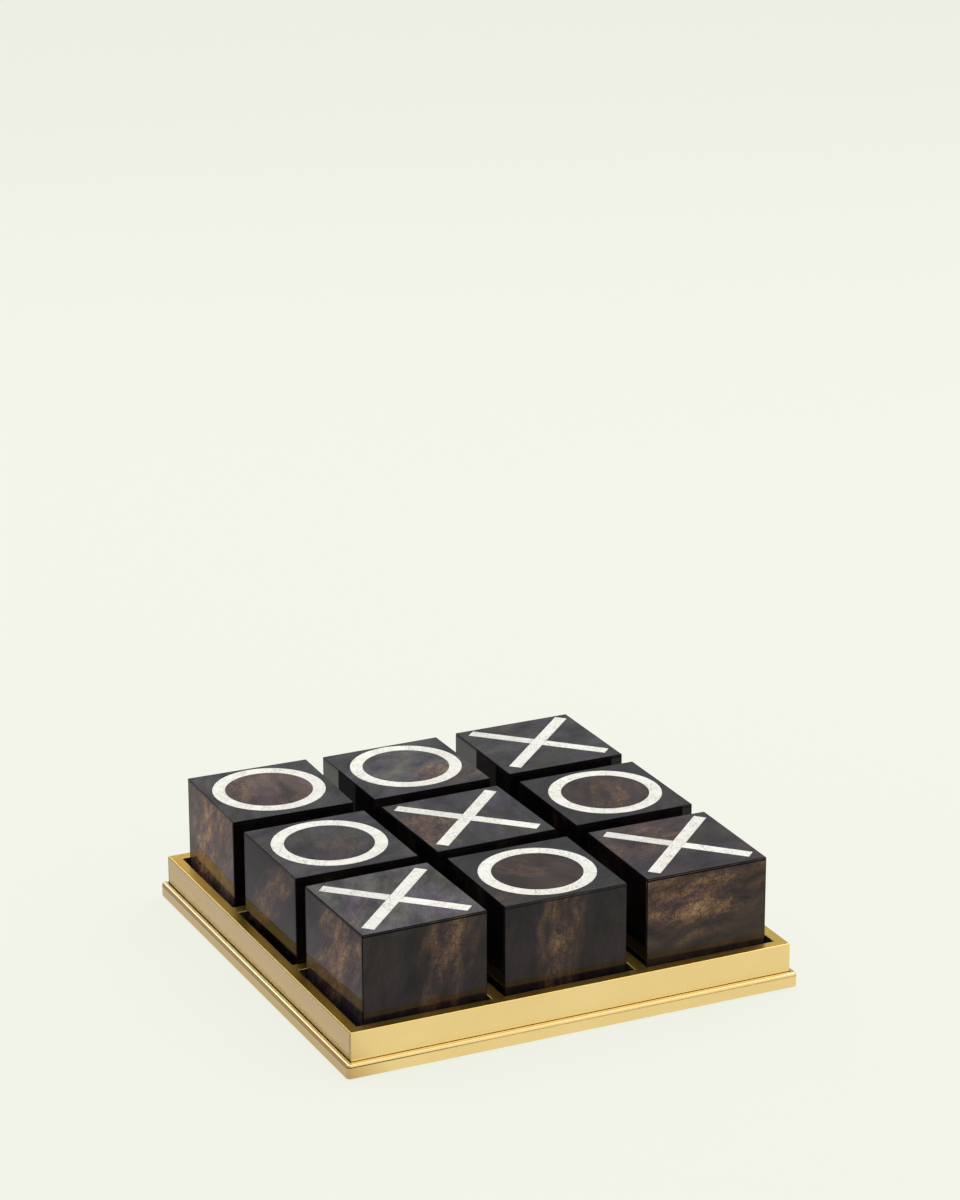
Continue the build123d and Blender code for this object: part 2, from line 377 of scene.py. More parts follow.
def lacquered_shell():
    """Dark shell veneer under clear lacquer: a smoky ground with one amber, crackled patch."""
    material, tree, shader = start_material("lacquered_shell", {
        "Specular IOR Level": 0.0, "Coat Weight": 1.0, "Coat Roughness": 0.03, "Coat IOR": 1.32})
    sheet = add_node(tree, "ShaderNodeUVMap", uv_map="sheet").outputs["UV"]
    patch = add_node(tree, "ShaderNodeUVMap", uv_map="patch").outputs["UV"]
    ground = attribute(tree, "ground", "Color")
    glow = attribute(tree, "glow")
    drifted = warped(tree, sheet, 45.0, 0.010)
    streaks = noise(tree, stretched(tree, drifted, (130.0, 48.0, 1.0)), 1.0, detail=5.0, roughness=0.65)
    clouds = noise(tree, stretched(tree, drifted, (1.0, 0.5, 1.0)), 60.0, detail=4.0)
    torn = warped(tree, patch, 2.2, 1.5)
    away = vector_maths(tree, "LENGTH", {0: torn})["Value"]
    inside = spread(tree, away, 0.25, 1.25, 1.0, 0.0)
    mottle = spread(tree, maths(tree, "ADD", streaks, clouds), 0.76, 1.24, 0.40, 1.7)
    iris = noise(tree, stretched(tree, drifted, (70.0, 32.0, 1.0), 0.3), 1.0, detail=3.0)
    sheen = shades(tree, iris, (
        (0.34, (1.01, 1.00, 0.72)), (0.44, (1.0, 0.98, 0.94)), (0.54, (1.0, 0.96, 0.98)),
        (0.66, (0.97, 0.78, 1.14))))
    smoky = tinted_by(tree, tinted_by(tree, ground, mottle), sheen)
    amber = shades(tree, streaks, (
        (0.30, (0.034, 0.020, 0.030)), (0.43, (0.080, 0.044, 0.044)), (0.54, (0.190, 0.098, 0.048)),
        (0.68, (0.370, 0.218, 0.108))))
    patchy = spread(tree, clouds, 0.35, 0.60, 0.35, 1.15)
    share = times(tree, times(tree, inside, glow), patchy, clamp=True)
    lively = tinted_by(tree, amber, spread(tree, glow, 1.0, 1.5, 1.0, 1.6))
    tinted = blended(tree, share, smoky, lively)
    fibre = noise(tree, stretched(tree, drifted, (1100.0, 90.0, 1.0)), 1.0, detail=3.0, roughness=0.6)
    tinted = tinted_by(tree, tinted, spread(tree, fibre, 0.3, 0.7, 0.84, 1.18))
    wide_place = stretched(tree, warped(tree, sheet, 120.0, 0.005), (0.85, 1.0, 1.0))
    wide = crackle(tree, wide_place, 250.0, 0.065)
    fine = crackle(tree, warped(tree, sheet, 300.0, 0.002), 640.0, 0.08)
    lines = maths(tree, "MAXIMUM", wide, times(tree, fine, 0.75))
    cracked = times(tree, lines, spread(tree, share, 0.05, 0.40, 0.24, 0.82))
    base = blended(tree, cracked, tinted, colour(0.012, 0.007, 0.006))
    swell = noise(tree, sheet, 55.0, detail=1.0)
    feed(tree, shader, base=base, roughness=spread(tree, clouds, 0.3, 0.7, 0.34, 0.52),
         coat_normal=bumped(tree, swell, 0.05, 0.4 * mm))
    return material


def joint_filler():
    """Black resin that fills the joints and shows where the edges are eased."""
    material, tree, shader = start_material("joint_filler", {"Specular IOR Level": 0.05})
    grain = noise(tree, object_place(tree), 1400.0, detail=3.0)
    base = shades(tree, grain, ((0.3, (0.0035, 0.003, 0.003)), (0.8, (0.010, 0.008, 0.008))))
    feed(tree, shader, base=base, roughness=spread(tree, grain, 0.3, 0.7, 0.5, 0.7))
    return material


def polished_bone():
    """Cream inlay with fine grey cracks under the same lacquer."""
    material, tree, shader = start_material("polished_bone", {
        "Specular IOR Level": 0.2, "Coat Weight": 1.0, "Coat Roughness": 0.04, "Coat IOR": 1.32})
    tone = attribute(tree, "tone")
    place = object_place(tree)
    shift = vector_maths(tree, "ADD", {0: place, 1: tone})[0]
    cloud = noise(tree, shift, 190.0, detail=4.0, roughness=0.6)
    cream = shades(tree, cloud, (
        (0.30, (0.90, 0.865, 0.70)), (0.50, (0.97, 0.955, 0.86)), (0.68, (1.0, 0.99, 0.935))))
    cream = tinted_by(tree, cream, spread(tree, tone, 0.0, 1.0, 0.82, 1.0))
    cracks = crackle(tree, warped(tree, shift, 420.0, 0.0022), 420.0, 0.10)
    shown = spread(tree, noise(tree, shift, 130.0, detail=2.0), 0.36, 0.58)
    lines = times(tree, times(tree, cracks, shown), 0.72)
    base = blended(tree, lines, cream, colour(0.36, 0.34, 0.30))
    feed(tree, shader, base=base, roughness=spread(tree, cloud, 0.3, 0.7, 0.30, 0.46),
         coat_normal=bumped(tree, noise(tree, place, 55.0, detail=1.0), 0.05, 0.4 * mm))
    return material


def black_felt():
    """Short wool felt: matted fibres and a faint bloom."""
    material, tree, shader = start_material("black_felt", {
        "Specular IOR Level": 0.1, "Sheen Weight": 0.12, "Sheen Roughness": 0.6,
        "Sheen Tint": colour(0.5, 0.5, 0.55)})
    place = object_place(tree)
    fibres = noise(tree, warped(tree, place, 900.0, 0.002), 2600.0, detail=5.0, roughness=0.7)
    tufts = noise(tree, place, 420.0, detail=3.0)
    mix = maths(tree, "ADD", fibres, times(tree, tufts, 0.6))
    base = shades(tree, mix, (
        (0.45, (0.005, 0.005, 0.0055)), (0.80, (0.015, 0.015, 0.016)), (1.00, (0.032, 0.032, 0.034))))
    feed(tree, shader, base=base, roughness=spread(tree, tufts, 0.3, 0.7, 0.92, 1.0),
         normal=bumped(tree, mix, 0.6, 0.25 * mm))
    return material


def grained_wood(name, pale, dark, along):
    """Plain-sawn wood whose grain runs along one axis."""
    material, tree, shader = start_material(name, {"Specular IOR Level": 0.3})
    place = warped(tree, object_place(tree), 14.0, 0.006)
    rings = add_node(tree, "ShaderNodeTexWave",
                     {"Vector": stretched(tree, place, along), "Scale": 55.0, "Distortion": 5.0,
                      "Detail": 3.0, "Detail Scale": 1.5}, bands_direction="DIAGONAL").outputs["Fac"]
    pores = noise(tree, stretched(tree, place, tuple(1500.0 * share for share in along)), 1.0, detail=3.0)
    base = shades(tree, rings, ((0.1, dark), (0.9, pale)))
    base = tinted_by(tree, base, spread(tree, pores, 0.3, 0.7, 0.80, 1.12))
    feed(tree, shader, base=base, roughness=spread(tree, pores, 0.3, 0.7, 0.5, 0.68),
         normal=bumped(tree, pores, 0.25, 0.08 * mm))
    return material


def zinc_plate():
    """Bright zinc on the hidden screws."""
    material, tree, shader = start_material("zinc_plate", {"Metallic": 1.0})
    place = object_place(tree)
    cloud = noise(tree, place, 900.0, detail=4.0)
    base = shades(tree, cloud, ((0.3, (0.42, 0.43, 0.44)), (0.7, (0.60, 0.60, 0.58))))
    feed(tree, shader, base=base, roughness=spread(tree, cloud, 0.3, 0.7, 0.25, 0.42))
    return material


# ---------------------------------------------------------------- mesh helpers

def add_object(name, data):
    thing = bpy.data.objects.new(name, data)
    bpy.context.collection.objects.link(thing)
    return thing


def smooth_faces(mesh):
    mesh.polygons.foreach_set("use_smooth", [True] * len(mesh.polygons))


def new_piece(name, mesh, material):
    mesh.materials.append(material)
    smooth_faces(mesh)
    return add_object(name, mesh)


def opened(mesh):
    """A bmesh to change a mesh in."""
    bm = bmesh.new()
    bm.from_mesh(mesh)
    return bm


def put_back(bm, mesh):
    bm.to_mesh(mesh)
    bm.free()


def settled(bm, name, place=None):
    """The finished mesh of a bmesh, moved to its place in the frame."""
    mesh = bpy.data.meshes.new(name)
    put_back(bm, mesh)
    if place is not None:
        mesh.transform(place)
    return mesh


def quarter_turns(number, size=4):
    """A turn from the front side on to the right one, the back one or the left one."""
    return Matrix.Rotation(number * math.pi / 2, size, "Z")


def ease_edges(piece, width, steps, edge_finish=None):
    """Rounds the edges that carry a weight, by their share of the width, and keeps the rest
    sharp. edge_finish is the material of the rounded edges, where they have their own."""
    bm = opened(piece.data)
    weight = bm.edges.layers.float["bevel_weight_edge"]
    for edge in bm.edges:
        edge.smooth = edge[weight] > 0 or not is_sharp(edge)
    put_back(bm, piece.data)
    bevel = piece.modifiers.new("eased_edges", "BEVEL")
    if edge_finish is not None:
        piece.data.materials.append(edge_finish)
        bevel.material = len(piece.data.materials) - 1
    bevel.limit_method = "WEIGHT"
    bevel.width = width
    bevel.segments = steps
    bevel.harden_normals = True
    bevel.use_clamp_overlap = True
    return piece


def weigh(bm, chosen, share):
    """Gives the edges for which chosen(edge) is true a share of the easing."""
    layers = bm.edges.layers.float
    layer = layers.get("bevel_weight_edge") or layers.new("bevel_weight_edge")
    for edge in bm.edges:
        if chosen(edge):
            edge[layer] = max(edge[layer], share)


def add_box(bm, low, high):
    """A box between two corners. Returns its vertices."""
    ends = zip(low, high)
    corners = [bm.verts.new(place) for place in itertools.product(*ends)]
    quads = ((0, 1, 3, 2), (4, 6, 7, 5), (0, 4, 5, 1), (2, 3, 7, 6), (0, 2, 6, 4), (1, 5, 7, 3))
    for quad in quads:
        bm.faces.new([corners[i] for i in quad])
    return corners


def is_sharp(edge):
    return len(edge.link_faces) == 2 and edge.calc_face_angle(0.0) > sharp_angle


def on_side(edge, half):
    """An edge that lies in the upright sides of a square of that half width."""
    return all(max(abs(v.co.x), abs(v.co.y)) > half - near for v in edge.verts)


def on_corner(edge, half):
    """An upright edge where two of those sides meet."""
    return all(min(abs(v.co.x), abs(v.co.y)) > half - near for v in edge.verts)


def on_top(edge, height):
    return all(v.co.z > height - near for v in edge.verts)


def grown_piece(name, tree, inputs):
    """Runs a node tree once and keeps what it makes as a plain mesh."""
    piece = add_object(name, bpy.data.meshes.new(name))
    grow = piece.modifiers.new("grow", "NODES")
    grow.node_group = tree
    for item in tree.interface.items_tree:
        if item.in_out == "INPUT" and item.name in inputs:
            grow[item.identifier] = inputs[item.name]
    depsgraph = bpy.context.evaluated_depsgraph_get()
    mesh = bpy.data.meshes.new_from_object(piece.evaluated_get(depsgraph), depsgraph=depsgraph)
    piece.modifiers.clear()
    piece.data = mesh
    smooth_faces(mesh)
    return piece


def start_tree(name, inputs):
    """A geometry node group with named numbers and a material as inputs, and its input sockets."""
    tree = bpy.data.node_groups.new(name, "GeometryNodeTree")
    tree.interface.new_socket("Geometry", in_out="OUTPUT", socket_type="NodeSocketGeometry")
    for label, value in inputs.items():
        kind = "NodeSocketInt" if isinstance(value, int) else "NodeSocketFloat"
        tree.interface.new_socket(label, in_out="INPUT", socket_type=kind).default_value = value
    tree.interface.new_socket("Material", in_out="INPUT", socket_type="NodeSocketMaterial")
    return tree, add_node(tree, "NodeGroupInput").outputs


def finish_tree(tree, geometry, material):
    real = add_node(tree, "GeometryNodeRealizeInstances", {"Geometry": geometry})
    painted = add_node(tree, "GeometryNodeSetMaterial", {"Geometry": real.outputs[0], "Material": material})
    add_node(tree, "NodeGroupOutput", {0: painted.outputs[0]})


def combine(tree, x=0.0, y=0.0, z=0.0):
    return add_node(tree, "ShaderNodeCombineXYZ", {"X": x, "Y": y, "Z": z}).outputs[0]


def positions(tree):
    """The X, Y and Z of the points that a node works on."""
    return axes(tree, add_node(tree, "GeometryNodeInputPosition").outputs[0])


def thickened(tree, flat, thickness):
    """Turns a flat face set into a closed slab, from z = 0 up to the thickness."""
    raised = add_node(tree, "GeometryNodeExtrudeMesh",
                      {"Mesh": flat, "Offset": combine(tree, z=thickness), "Individual": False})
    under = add_node(tree, "GeometryNodeFlipFaces", {"Mesh": flat})
    both = add_node(tree, "GeometryNodeJoinGeometry")
    tree.links.new(raised.outputs["Mesh"], both.inputs[0])
    tree.links.new(under.outputs[0], both.inputs[0])
    merged = add_node(tree, "GeometryNodeMergeByDistance",
                      {"Geometry": both.outputs[0], "Distance": 0.001 * mm})
    return merged.outputs[0]


# ---------------------------------------------------------------- tray

def well_plate_tree():
    """A grid of cells, each opened by its well, with the outer border moved out to the rim."""
    tree, given = start_tree("well_plate", {
        "Wells": wells_per_side, "Pitch": well_pitch, "Opening": well_opening, "Half": frame_half,
        "Low": wall_top, "Thickness": tray_height - wall_top})
    corners = maths(tree, "ADD", given["Wells"], 1)
    span = times(tree, given["Wells"], given["Pitch"])
    grid = add_node(tree, "GeometryNodeMeshGrid",
                    {"Size X": span, "Size Y": span, "Vertices X": corners, "Vertices Y": corners})
    cells = add_node(tree, "GeometryNodeExtrudeMesh",
                     {"Mesh": grid.outputs["Mesh"], "Offset Scale": 0.0, "Individual": True})
    share = maths(tree, "DIVIDE", given["Opening"], given["Pitch"])
    shrunk = add_node(tree, "GeometryNodeScaleElements",
                      {"Geometry": cells.outputs["Mesh"], "Selection": cells.outputs["Top"], "Scale": share})
    holed = add_node(tree, "GeometryNodeDeleteGeometry",
                     {"Geometry": shrunk.outputs[0], "Selection": cells.outputs["Top"]}, domain="FACE")
    place = positions(tree)
    border = maths(tree, "SUBTRACT", maths(tree, "DIVIDE", span, 2.0), near)
    moved = []
    for axis in ("X", "Y"):
        outside = maths(tree, "GREATER_THAN", maths(tree, "ABSOLUTE", place[axis]), border)
        rim = times(tree, maths(tree, "SIGN", place[axis]), given["Half"])
        kept = times(tree, place[axis], maths(tree, "SUBTRACT", 1.0, outside))
        moved.append(maths(tree, "ADD", kept, times(tree, rim, outside)))
    widened = add_node(tree, "GeometryNodeSetPosition",
                       {"Geometry": holed.outputs[0], "Position": combine(tree, moved[0], moved[1], 0.0)})
    slab = thickened(tree, widened.outputs[0], given["Thickness"])
    lifted = add_node(tree, "GeometryNodeTransform",
                      {"Geometry": slab, "Translation": combine(tree, z=given["Low"])})
    finish_tree(tree, lifted.outputs[0], given["Material"])
    return tree


def weigh_mesh(mesh, chosen, share):
    bm = opened(mesh)
    bm.normal_update()
    weigh(bm, chosen, share)
    put_back(bm, mesh)


def add_top_plate(brass, edge_brass, side_brass):
    """The plate's openings and outer edges are eased, and its outer sides match the side plates."""
    plate = grown_piece("rim_and_webs", well_plate_tree(), {"Material": brass})

    def upper_edge(edge):
        return is_sharp(edge) and on_top(edge, tray_height)

    def outer_corner(edge):
        return is_sharp(edge) and on_corner(edge, frame_half)

    weigh_mesh(plate.data, lambda edge: upper_edge(edge) or outer_corner(edge), inner_share)
    weigh_mesh(plate.data, lambda edge: upper_edge(edge) and on_side(edge, frame_half), 1.0)
    ease_edges(plate, plate_ease, ease_steps, edge_brass)
    plate.data.materials.append(side_brass)
    for face in plate.data.polygons:
        if max(abs(face.center.x), abs(face.center.y)) > frame_half - near:
            face.material_index = len(plate.data.materials) - 1
    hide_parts("top_plate")
    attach(plate, "tray")


def add_side_plates(finishes, seam_and_shade):
    """Front and back plates cover the ends of the other two, with a dark seam between them."""
    for number, side in enumerate(sides):
        covers_ends = side in ("front", "back")
        half = frame_half if covers_ends else board_half
        bm = bmesh.new()
        add_box(bm, (-half, -frame_half, plinth_height), (half, -board_half, wall_top))

        def upright(edge):
            return abs(edge.verts[0].co.z - edge.verts[1].co.z) > mm

        def outermost(edge):
            return edge.verts[0].co.y < -frame_half + near

        at_seam = [edge for edge in bm.edges if upright(edge) and outermost(edge) != covers_ends]
        bmesh.ops.bevel(bm, geom=at_seam, offset=seam_ease, segments=1, affect="EDGES", material=1)
        weigh(bm, lambda edge: covers_ends and is_sharp(edge) and upright(edge) and outermost(edge), 1.0)
        mesh = settled(bm, f"{side}_plate", quarter_turns(number))
        plate = new_piece(f"{side}_plate", mesh, finishes[number % 2])
        plate.data.materials.append(seam_and_shade)
        ease_edges(plate, inner_share * plate_ease, ease_steps)
        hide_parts(f"side_plate_{side}")
        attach(plate, "tray")


def moulding_section():
    """Points of the moulding's outline as (distance out, height), in order round it."""
    flange_half = board_half - flange_reach
    lip_half = plinth_half - lip_width
    bead_top = plinth_height - ledge_fall
    bead_low = bead_top - bead_radius
    groove_low = bead_low - groove_width
    points = [(flange_half, underside), (lip_half, underside), (lip_half, felt_proud)]
    for i in range(lip_steps + 1):
        turn = math.radians(-90 + 90 * i / lip_steps)
        points.append((plinth_half - lip_ease + lip_ease * math.cos(turn),
                       felt_proud + lip_ease + lip_ease * math.sin(turn)))
    points += [(plinth_half, groove_low - groove_ease), (plinth_half - groove_ease, groove_low),
               (plinth_half - groove_depth, groove_low), (plinth_half - groove_depth, bead_low),
               (plinth_half - groove_ease, bead_low)]
    for i in range(bead_steps + 1):
        turn = math.radians(90 * i / bead_steps)
        points.append((plinth_half - bead_radius + bead_radius * math.cos(turn),
                       bead_low + bead_rise + (bead_radius - bead_rise) * math.sin(turn)))
    points += [(frame_half + foot_gap, plinth_height - ledge_start),
               (frame_half + foot_gap / 3, plinth_height - foot_gap),
               (frame_half - foot_gap / 3, plinth_height), (board_half, plinth_height),
               (board_half, flange_top), (flange_half, flange_top)]
    return points


def moulding_run(distance):
    """A section point's path along the front: round half a corner, straight, round the other.

    A point too far in to go round the corner takes as many steps in from the mitre instead.
    """
    arc_centre = plinth_half - corner_radius
    half_run = []
    for i in range(corner_steps + 1):
        share = i / corner_steps
        if distance > arc_centre:
            turn = math.radians(45 * (1 - share))
            radius = distance - arc_centre
            half_run.append((arc_centre + radius * math.sin(turn), arc_centre + radius * math.cos(turn)))
        else:
            steps_in = (distance - board_half + corner_reach) * share * corner_spread
            half_run.append((distance - steps_in, distance))
    left = [(-along, -out) for along, out in half_run]
    right = [(along, -out) for along, out in reversed(half_run)]
    return left + right


def moulding_finish(first, second):
    """Which finish the strip between two section points has: 1 for the painted shade in the groove and at the
    frame's foot, 2 for the paler brass of the flat ledge, a painted lighter reflection, and 0 on the rest."""
    out, height = (first[0] + second[0]) / 2, (first[1] + second[1]) / 2
    bead_low = plinth_height - ledge_fall - bead_radius
    if bead_low - groove_width - near < height < bead_low + near:
        return 1
    if height < bead_low or out < frame_half:
        return 0
    if out < frame_half + foot_gap:
        return 1
    return 2 if out < plinth_half - bead_radius else 0


def moulding_mesh(name, number):
    """One side's moulding: its section drawn along the run, with an end face at each mitre."""
    bm = bmesh.new()
    section = moulding_section()
    rows = []
    for distance, height in section:
        rows.append([bm.verts.new((x, y, height)) for x, y in moulding_run(distance)])
    count = len(rows)
    for i, row in enumerate(rows):
        following = rows[(i + 1) % count]
        finish = moulding_finish(section[i], section[(i + 1) % count])
        for j in range(len(row) - 1):
            bm.faces.new((row[j], row[j + 1], following[j + 1], following[j])).material_index = finish
    for end in (0, -1):
        bm.faces.new([row[end] for row in rows])
    bmesh.ops.recalc_face_normals(bm, faces=bm.faces)
    for edge in bm.edges:
        edge.smooth = edge.calc_face_angle(0.0) < crease_angle
    return settled(bm, name, quarter_turns(number))


def add_mouldings(finishes, seam_and_shade, ledge_painted_light):
    for number, side in enumerate(sides):
        mesh = moulding_mesh(f"{side}_moulding", number)
        moulding = new_piece(f"{side}_moulding", mesh, finishes[number % 2])
        # painted shade for the groove and the frame's foot, and paler brass painting the ledge's lighter
        # reflection
        moulding.data.materials.append(seam_and_shade)
        moulding.data.materials.append(ledge_painted_light)
        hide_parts(f"plinth_moulding_{side}")
        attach(moulding, "tray")


def square_grid(bm, half, steps, height, facing_up):
    """A flat square of small faces round the origin. Returns its rows of vertices, front first."""
    places = [-half + 2 * half * i / steps for i in range(steps + 1)]
    rows = [[bm.verts.new((x, y, height)) for x in places] for y in places]
    for i in range(steps):
        for j in range(steps):
            a, b, c, d = rows[i][j], rows[i][j + 1], rows[i + 1][j + 1], rows[i + 1][j]
            bm.faces.new((a, b, c, d) if facing_up else (a, d, c, b))
    return rows


def lining_mesh(name, x, y):
    """One felt cut as a cross and folded up into a box: its floor and four walls."""
    floor = liner_low.z + liner_thickness
    top = liner_high.z
    bm = bmesh.new()
    rows = square_grid(bm, well_opening / 2, lining_steps, floor, True)
    rim = rows[0] + [row[-1] for row in rows[1:]] + rows[-1][-2::-1] + [row[0] for row in rows[-2:0:-1]]
    below = rim
    for level in lining_levels:
        above = [bm.verts.new((v.co.x, v.co.y, floor + (top - floor) * level)) for v in rim]
        for i in range(len(rim)):
            j = (i + 1) % len(rim)
            bm.faces.new((below[i], below[j], above[j], above[i]))
        below = above
    bmesh.ops.recalc_face_normals(bm, faces=bm.faces)
    if bm.faces[0].normal.z < 0:
        bmesh.ops.reverse_faces(bm, faces=bm.faces)
    return settled(bm, name, Matrix.Translation((x, y, 0)))


def add_linings(felt):
    """Each lining replaces its share of the CAD liners and lies in its own well."""
    places = [(i - (wells_per_side - 1) / 2) * well_pitch for i in range(wells_per_side)]
    for row, y in zip(("front", "middle", "back"), places):
        for column, x in zip(("left", "centre", "right"), places):
            name = f"{row}_{column}_well_felt"
            lining = new_piece(name, lining_mesh(name, x, y), felt)
            thicken = lining.modifiers.new("felt", "SOLIDIFY")
            thicken.thickness = liner_thickness
            thicken.offset = -1.0
            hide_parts("well_liners")
            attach(lining, "tray")


def add_underside_felt(felt):
    half = plinth_half - lip_width - felt_margin
    bm = bmesh.new()
    square_grid(bm, half, felt_steps, 0.0, False)
    sheet = new_piece("felt_under_tray", settled(bm, "felt_under_tray"), felt)
    thicken = sheet.modifiers.new("felt", "SOLIDIFY")
    thicken.thickness = underside
    thicken.offset = -1.0
    rounded = sheet.modifiers.new("cut_edge", "BEVEL")
    rounded.width = felt_edge_ease
    rounded.segments = 2
    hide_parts("underside_felt")
    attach(sheet, "tray")


# ---------------------------------------------------------------- blocks

def start_panels():
    """An empty bmesh with the layers that the veneer needs."""
    bm = bmesh.new()
    bm.loops.layers.uv.new("sheet")
    bm.loops.layers.uv.new("patch")
    bm.faces.layers.float.new("glow")
    bm.faces.layers.float_color.new("ground")
    return bm


def lay_sheet(bm, faces, across, up, cut):
    """Lays a cut of shell on a panel: its grain leans, and its patch sits where the sheet says."""
    sheet, shift = cut
    place, patch = bm.loops.layers.uv["sheet"], bm.loops.layers.uv["patch"]
    glow, ground = bm.faces.layers.float["glow"], bm.faces.layers.float_color["ground"]
    turn = Matrix.Rotation(math.radians(sheet.lean), 2)
    corner = Vector((-block_half, -block_half if up.y else 0.0))
    face_size = 2 * block_half
    middle = Vector(sheet.middle) * face_size + corner
    for face in faces:
        face[glow] = sheet.glow
        face[ground] = colour(*sheet.ground)
        for loop in face.loops:
            flat = Vector((loop.vert.co.dot(across), loop.vert.co.dot(up)))
            loop[place].uv = turn @ flat + shift
            off = turn @ (flat - middle)
            loop[patch].uv = Vector((off.x / sheet.reach[0], off.y / sheet.reach[1])) / face_size


def sheet_for(block, side, chance):
    """The sheet on a face: listed, or else a warm one on the outside and underside and, inside the set, a
    plain dark one that paints the shade between the blocks.
    """
    if (block, side) in outer_sheets:
        return outer_sheets[block, side]
    outside = side == "right" and block.endswith("right") or side == "back" and block.startswith("back")
    warm = outside or side == "underside"
    middle = (chance.uniform(0.3, 0.7), chance.uniform(0.3, 0.7))
    reach = (chance.uniform(0.15, 0.30), chance.uniform(0.35, 0.60))
    # faces inside the set get near-black soot and almost no amber: painted shade between the blocks
    ground = chance.choice((charcoal, umber, plum)) if warm else soot
    return Sheet(ground, chance.uniform(0.5, 0.9) if warm else 0.12, middle, reach, chance.uniform(-70, 70))


def draw_cuts(block, chance):
    """For each face of a block its sheet, and where in a larger sheet it is cut from."""
    cuts = {}
    for side in sides + ("underside", "top", "disc"):
        sheet = sheet_for(block, side, chance)
        cuts[side] = (sheet, Vector((chance.uniform(-3, 3), chance.uniform(-3, 3))))
    return cuts


def face_lid_sides(bm, cuts):
    """The lid's edges are faced with the sheets of the panels below them."""
    for number, side in enumerate(sides):
        turn = quarter_turns(number, 3)
        outward = turn @ -backward
        line = block_half - near
        edge = [face for face in bm.faces if all(v.co.dot(outward) > line for v in face.verts)]
        lay_sheet(bm, edge, turn @ rightward, upward, cuts[side])


def faces_of(vertices):
    return {face for vertex in vertices for face in vertex.link_faces}


def side_panels_bmesh(cuts):
    """Front and back panels run the full width, the other two fit between them."""
    bm = start_panels()
    inner = block_half - veneer
    for number, side in enumerate(sides):
        half = block_half if number % 2 == 0 else inner
        vertices = add_box(bm, (-half, -block_half, veneer), (half, -inner, lid_low))
        lay_sheet(bm, faces_of(vertices), rightward, upward, cuts[side])
        bmesh.ops.rotate(bm, verts=vertices, matrix=quarter_turns(number, 3))
    vertices = add_box(bm, (-block_half, -block_half, 0), (block_half, block_half, veneer))
    lay_sheet(bm, faces_of(vertices), rightward, backward, cuts["underside"])
    bmesh.ops.recalc_face_normals(bm, faces=bm.faces)

    def bottom_edge(edge):
        return all(v.co.z < near for v in edge.verts)

    weigh(bm, is_sharp, joint_ease / corner_ease)
    weigh(bm, lambda e: is_sharp(e) and (on_corner(e, block_half) or bottom_edge(e)), 1.0)
    return bm


def wall_between(bm, lower, upper):
    for i in range(len(lower)):
        j = (i + 1) % len(lower)
        bm.faces.new((lower[i], lower[j], upper[j], upper[i]))


def loop_at(bm, points, height):
    return [bm.verts.new((point.x, point.y, height)) for point in points]


def square_round(centre, directions):
    """Where lines from the centre reach a block's sides, with the nearest ones in the corners."""
    border = []
    for direction in directions:
        reach = min((block_half - math.copysign(1, ahead) * start) / abs(ahead)
                    for start, ahead in zip(centre, direction))
        border.append(centre + direction * reach)
    for corner in (Vector(signs) * block_half for signs in itertools.product((-1, 1), repeat=2)):
        nearest = min(range(len(border)), key=lambda i: (border[i] - corner).length)
        border[nearest] = corner
    return border


def ring_top_bmesh(cuts, centre):
    """A square panel with a round socket, and the disc that stands inside the ring."""
    bm = start_panels()
    turns = [2 * math.pi * (i + 0.5) / circle_steps for i in range(circle_steps)]
    directions = [Vector((math.cos(turn), math.sin(turn))) for turn in turns]
    border = square_round(centre, directions)
    border_low, border_high = loop_at(bm, border, lid_low), loop_at(bm, border, block_height)
    hole = [centre + (mark_reach + glue_line) * direction for direction in directions]
    hole_low, hole_high = loop_at(bm, hole, lid_low), loop_at(bm, hole, block_height)
    wall_between(bm, border_low, border_high)
    wall_between(bm, hole_high, hole_low)
    wall_between(bm, border_high, hole_high)
    wall_between(bm, hole_low, border_low)
    lay_sheet(bm, list(bm.faces), rightward, backward, cuts["top"])
    plate_faces = set(bm.faces)
    disc = [centre + (mark_reach - mark_width - glue_line) * direction for direction in directions]
    disc_low, disc_high = loop_at(bm, disc, lid_low), loop_at(bm, disc, block_height)
    wall_between(bm, disc_low, disc_high)
    bm.faces.new(disc_high)
    bm.faces.new(disc_low[::-1])
    disc_faces = [face for face in bm.faces if face not in plate_faces]
    lay_sheet(bm, disc_faces, rightward, backward, cuts["disc"])
    return bm


def cross_corners():
    """The twelve corners of a cross's socket, round it from the front notch."""
    length = arm_length + glue_line
    half = mark_width / 2 + glue_line
    points = []
    for number in range(4):
        turn = Matrix.Rotation(math.radians(-45 + 90 * number), 2)
        points += [turn @ Vector(p) for p in ((half, -half), (length, -half), (length, half))]
    return points


def cross_top_bmesh(cuts, centre):
    """A square panel with the cross's socket cut through it."""
    bm = start_panels()
    corners = [Vector(signs) * block_half for signs in ((1, -1), (1, 1), (-1, 1), (-1, -1))]
    socket = [centre + point for point in cross_corners()]
    levels = []
    for height, order in ((block_height, 1), (lid_low, -1)):
        border, hole = loop_at(bm, corners, height), loop_at(bm, socket, height)
        for i in range(4):
            last_tip, notch, tip, tip_far = hole[3 * i - 1], hole[3 * i], hole[3 * i + 1], hole[3 * i + 2]
            quarter = [border[i - 1], border[i], tip, notch, last_tip]
            corner = [border[i], tip_far, tip]
            for outline in (quarter, corner):
                bm.faces.new(outline[::order])
        levels.append((border, hole))
    (border_high, hole_high), (border_low, hole_low) = levels
    wall_between(bm, border_low, border_high)
    wall_between(bm, hole_high, hole_low)
    lay_sheet(bm, list(bm.faces), rightward, backward, cuts["top"])
    return bm


